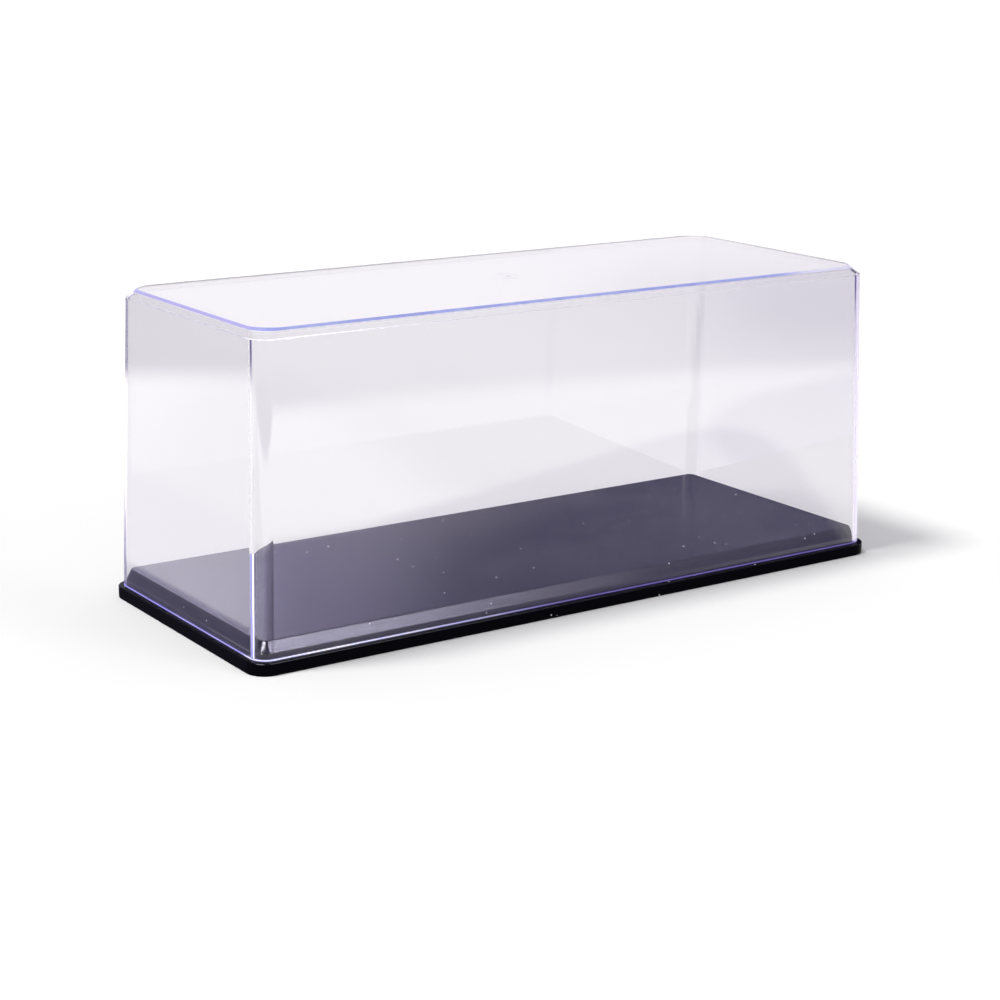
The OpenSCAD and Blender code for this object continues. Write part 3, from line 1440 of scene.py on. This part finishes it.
@dataclass(frozen=True)
class Floor:
    """The pale floor, which mirrors see as a table with an edge, painted with light and shade.

    Each colour is followed by the lines, patches and shares that it lies by.
    """

    half: float = 9.0
    colour: Colour = (0.95, 0.95, 0.95)
    lift: float = 0.03
    # Painted light and shade on the floor seen through the cover: flat white over its shadows, darker on the
    # right and far off on the right.
    through: Colour = (1.0, 1.0, 1.0)
    through_share: float = 0.7
    through_right_shade: Colour = (0.89, 0.875, 0.915)
    right_line: Line = Line(1.0, -0.3, 0.15, 0.46)
    through_far_shade: Colour = (0.74, 0.72, 0.78)
    far_line: Line = Line(1.0, 1.0, 0.65, 1.0)
    far_right_line: Line = Line(1.0, -1.0, -0.02, 0.14)
    table: Colour = (1.22, 1.20, 1.22)
    table_shape: Patch = Patch((0.0, 0.0), (0.93, 0.60), 2.0, (0.91, 1.09))
    open_azimuth: float = 20.0
    open_edge: Span = (30.0, 45.0)
    table_left: Colour = (1.08, 1.05, 1.16)
    left_middle: float = -0.215
    left_edge: Span = (0.035, 0.07)
    # Painted light: the table is brighter in front.
    lit_table_front: Colour = (1.95, 1.95, 1.90)
    front_line: Line = Line(0.0, 1.0, -0.30, -0.20)
    front_end: Line = Line(1.0, 0.3, -0.045, 0.03)
    # Painted shade round the case and in a nook before its front left corner.
    shade_near_front: Colour = (0.42, 0.39, 0.60)
    shade_near_left: Colour = (0.26, 0.24, 0.38)
    near_line: Line = Line(1.0, 0.0, -0.19, -0.10)
    near_end: Line = Line(1.0, 0.0, -0.187, -0.182)
    near_shape: Patch = Patch((-0.04, -0.03), (0.165, 0.25), 4.0, (0.86, 0.96))
    near_pull: Triple = (0.0, 0.1, 0.7)
    near_lean: float = 0.35
    nook_side: Line = Line(0.268, 1.0, -0.125, -0.105)
    nook_end: Line = Line(1.0, 0.548, -0.21, -0.19)
    nook_shape: Patch = Patch((-0.158, -0.063), (0.24, 0.24), 2.0, (0.92, 1.08))
    room_inside: Colour = (0.20, 0.19, 0.30)
    # Painted reflection of the case's inside, for rays that went through three clear faces: dark where the
    # deck shows, light elsewhere.
    inside_painted_dark: Colour = (0.45, 0.43, 0.55)
    inside_painted_light: Colour = (1.15, 1.12, 1.10)
    inside_line: Line = Line(1.0, 0.0, 0.03, 0.13)
    inside_end: Line = Line(1.0, 0.83, -0.20, -0.12)
    inside_depth: float = 2.5

    def plain(self, spot: Spot, path: bpy.types.Node) -> Socket:
        """Build the floor that isn't mirrored: it keeps shadows, and glows a little.

        Seen through the cover it is paler than its shadows, as painted light, dimmer on the
        right, and dimmer still far off on the right, as painted shade.

        Args:
            spot: The point of the floor.
            path: The node that tells rays apart.

        Returns:
            The shader.
        """
        graph = spot.graph
        paint = graph.fed(graph.node("ShaderNodeBsdfDiffuse"), {"Color": self.colour})
        strength = graph.product(path.outputs["Is Camera Ray"], self.lift)
        lift = graph.fed(graph.node("ShaderNodeEmission"), {"Strength": strength})
        lifted = graph.fed(graph.node("ShaderNodeAddShader"), {0: paint, 1: lift})
        # Painted shade: darker on the right and far off on the right.
        colour = graph.blend(spot.past(self.right_line), self.through, self.through_right_shade)
        far_right = graph.product(spot.past(self.far_line), spot.past(self.far_right_line))
        colour = graph.blend(far_right, colour, self.through_far_shade)
        behind = graph.fed(graph.node("ShaderNodeEmission"), {"Color": colour})
        share = graph.product(path.outputs["Is Transmission Ray"], self.through_share)
        return graph.mixed(share, lifted, behind)

    def away(self, spot: Spot) -> Socket:
        """Return 0 on the patch of painted shade round the case, and 1 off it.

        The patch is read at a shifted point. Right of the middle its x goes
        down the further forward it lies, and its y up the further right.

        Args:
            spot: The point of the floor.

        Returns:
            The mask.
        """
        graph, (start, end, most) = spot.graph, self.near_pull
        pull = graph.product(graph.math("MINIMUM", spot.y, 0.0), graph.ramp(spot.x, start, end, 0.0, most))
        lean = graph.product(graph.math("MAXIMUM", spot.x, 0.0), self.near_lean)
        shifted = Spot(graph, graph.math("ADD", spot.x, pull), graph.math("ADD", spot.y, lean))
        return graph.math("MAXIMUM", shifted.outside(self.near_shape), spot.before(self.near_end))

    def table_colour(self, spot: Spot) -> Socket:
        """Paint the table: paler in front as painted light, dimmer in a band on the left, and dark near the
        case as painted shade.

        The painted shade also fills a nook before the case's front left corner.

        Args:
            spot: The point of the floor.

        Returns:
            The colour.
        """
        graph = spot.graph
        off_band = graph.ramp(graph.off(spot.x, self.left_middle), *self.left_edge)
        far = graph.blend(off_band, self.table_left, self.table)
        far = graph.blend(spot.before(self.front_line, self.front_end), far, self.lit_table_front)
        # Painted shade near the case and in the nook before its front left corner.
        near = graph.blend(spot.past(self.near_line), self.shade_near_left, self.shade_near_front)
        colour = graph.blend(self.away(spot), near, far)
        beyond = graph.math("SUBTRACT", 1.0, spot.outside(self.nook_shape))
        nook = graph.product(beyond, spot.before(self.nook_side, self.nook_end))
        return graph.blend(nook, colour, self.shade_near_left)

    def mirrored(self, spot: Spot, path: bpy.types.Node, room: Colour) -> Socket:
        """Paint what mirrors see: the table, the room past its edge, and the case's inside.

        The table has no edge far behind the case. The inside, a painted reflection, is what a ray
        meets that has gone through three clear faces, before the middle.

        Args:
            spot: The point of the floor.
            path: The node that tells rays apart.
            room: The colour of the room.

        Returns:
            The colour.
        """
        graph, through = spot.graph, path.outputs["Is Transmission Ray"]
        edged = graph.ramp(graph.off(graph.azimuth(spot.x, spot.y), self.open_azimuth), *self.open_edge)
        beyond = graph.product(spot.outside(self.table_shape), edged)
        outside = graph.blend(beyond, self.table_colour(spot), graph.blend(through, room, self.room_inside))
        inside = graph.blend(spot.past(self.inside_line), self.inside_painted_dark, self.inside_painted_light)
        inside = graph.blend(spot.before(self.inside_end), inside, self.inside_painted_light)
        deep = graph.math("GREATER_THAN", path.outputs["Transmission Depth"], self.inside_depth)
        before = graph.math("LESS_THAN", spot.y, 0.0)
        return graph.blend(graph.product(deep, before), outside, inside)

    def build(self, room: Colour) -> None:
        """Make the floor as one large square.

        Args:
            room: The colour of the room past the table.
        """
        material, graph, place = start_material("pale_floor")
        spot, path = Spot(graph, *graph.split(place)[:2]), graph.node("ShaderNodeLightPath")
        colour = self.mirrored(spot, path, room)
        mirrored = graph.fed(graph.node("ShaderNodeEmission"), {"Color": colour})
        end_material(graph, graph.mixed(reflected(graph), self.plain(spot, path), mirrored))
        corners = [(x * self.half, y * self.half, 0) for x, y in ((-1, -1), (1, -1), (1, 1), (-1, 1))]
        mesh = bpy.data.meshes.new("floor")
        mesh.from_pydata(corners, [], [(0, 1, 2, 3)])
        mesh.materials.append(material)
        floor = link("floor", mesh)


@dataclass
class Studio:
    """A pale table in a darker room, two lamps, and the camera."""

    room: Room = Room()
    floor: Floor = Floor()
    lamps: tuple[Lamp, ...] = (
        Lamp("key", -76.0, 65.0, 14.0, 2.1),
        Lamp("fill", 150.0, 30.0, 22.0, 0.4),
    )
    camera_place: Triple = (-0.52817, -0.76109, 0.28129)
    camera_axes: tuple[Triple, ...] = (
        (0.824529, -0.565736, 0.009677),
        (0.138495, 0.218372, 0.965988),
        (-0.548608, -0.795145, 0.258406),
    )
    lens: float = 78.08
    sensor: float = 36.0
    clip: Span = (0.01, 50.0)

    def make_camera(self) -> None:
        """Make the camera, a long lens to the front left that looks slightly down."""
        data = bpy.data.cameras.new("camera")
        data.sensor_width, data.lens = self.sensor, self.lens
        data.clip_start, data.clip_end = self.clip
        camera = bpy.data.objects.new("camera", data)
        axes = Matrix(self.camera_axes).transposed().to_4x4()
        camera.matrix_world = Matrix.Translation(self.camera_place) @ axes
        bpy.context.scene.collection.objects.link(camera)
        bpy.context.scene.camera = camera

    def build(self) -> None:
        """Make the whole studio."""
        self.make_camera()
        self.room.build()
        self.floor.build(self.room.wall)
        for lamp in self.lamps:
            lamp.build()


# ---------------------------------------------------------------- the whole


def cover_finishes(groups: Groups) -> dict[CoverFinish, bpy.types.Material]:
    """Make the cover's finishes: clear plastic, and painted light and shade on the edges and in the corners.

    Args:
        groups: The shared node groups.

    Returns:
        The material of each finish.
    """
    white = (0.95, 0.95, 1.0)
    looks = {
        CoverFinish.CLEAR: ClearPlastic(),
        # Painted shade: clear plastic that turns dark near the top, for the dark lines in the upright
        # corners.
        CoverFinish.CORNER: ClearPlastic("clear_corner_painted_shade", painted_top_shade=(0.10, 0.08, 0.26)),
        CoverFinish.LEFT_CORNER: ClearPlastic(
            "clear_left_corner_painted_shade", painted_top_shade=(0.05, 0.04, 0.14), top_from=(0.092, 0.102)
        ),
        # Painted light: a blue-violet line along the roof's edge, paler in patches, on the sides and at the
        # right end.
        CoverFinish.ROOF_LINE: LitEdge(
            "lit_roof_edge",
            front=(0.33, 0.36, 0.80),
            front_pale=(0.46, 0.50, 0.88),
            sides=(0.47, 0.44, 0.80),
            right=(0.78, 0.76, 0.97),
            ior=1.25,
            right_from=(0.10, 0.125),
        ),
        # Painted light: a glowing violet line along the cover's foot, white in patches along the front,
        # dimmer on the sides and towards the right end.
        CoverFinish.FOOT_LINE: LitEdge(
            "lit_foot",
            front=(0.62, 0.60, 1.0),
            front_pale=(1.0, 1.0, 1.0),
            sides=(0.19, 0.145, 0.72),
            right=(0.11, 0.085, 0.31),
            glow=0.8,
            sides_share=0.75,
            right_from=(-0.14, 0.0),
        ),
        # Painted highlight: a white line along the front shoulder, grey further right and on the other
        # sides.
        CoverFinish.SHOULDER: LitEdge(
            "painted_shoulder_highlight",
            front=white,
            sides=(0.42, 0.41, 0.48),
            right=(0.48, 0.46, 0.52),
            glow=0.4,
            clearness=0.5,
            right_from=(-0.14, -0.07),
        ),
        # Painted light: a pale strip on the chamfer just under the roof's line, greyer on the other sides
        # and at the right end.
        CoverFinish.STRIP: LitEdge(
            "painted_pale_strip",
            front=white,
            sides=(0.66, 0.65, 0.72),
            right=(0.60, 0.58, 0.66),
            glow=0.25,
            clearness=0.7,
        ),
        # Painted light: a pale glowing band up the front right corner.
        CoverFinish.PALE_CORNER: LitEdge("painted_pale_corner", (0.72, 0.68, 0.82), glow=0.25, clearness=0.7),
        # Painted light: a lilac glowing line near the foot of the front left corner, beside the lit one.
        CoverFinish.LILAC_CORNER: LitEdge(
            "painted_lilac_corner", (0.33, 0.33, 0.76), glow=0.3, clearness=0.3, ior=1.25
        ),
    }
    return {part: look.material(groups) for part, look in looks.items()}


def base_finishes(groups: Groups) -> dict[BaseFinish, bpy.types.Material]:
    """Make the base's finishes: black plastic, and darker, less shiny copies of it on the rim as painted
    shade.

    Args:
        groups: The shared node groups.

    Returns:
        The material of each finish.
    """
    # Painted shade: the rim is the same black plastic, darker and almost without shine, so its side and
    # ledge show no reflections.
    rim = (0.003, 0.0027, 0.0042)
    looks = {
        BaseFinish.BODY: BlackPlastic(),
        BaseFinish.RIM: BlackPlastic("black_rim", colour=rim, shine=0.01),
        # Painted highlight: the rim's edge shines along the front only.
        BaseFinish.RIM_EDGE: BlackPlastic("black_rim_edge_front_highlight", colour=rim, shine=0.02, front_highlight_shine=0.25),
    }
    return {part: look.material(groups) for part, look in looks.items()}


def main() -> None:
    """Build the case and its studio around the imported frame."""
    logging.basicConfig(level=logging.INFO, format="%(name)s: %(message)s")
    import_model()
    Studio().build()
    bpy.context.scene.view_settings.view_transform = "Standard"
    groups = Groups()
    outline = Outline.from_frame()
    Base(outline).build(base_finishes(groups))
    Cover(outline).build(cover_finishes(groups))


if __name__ == "__main__":
    main()
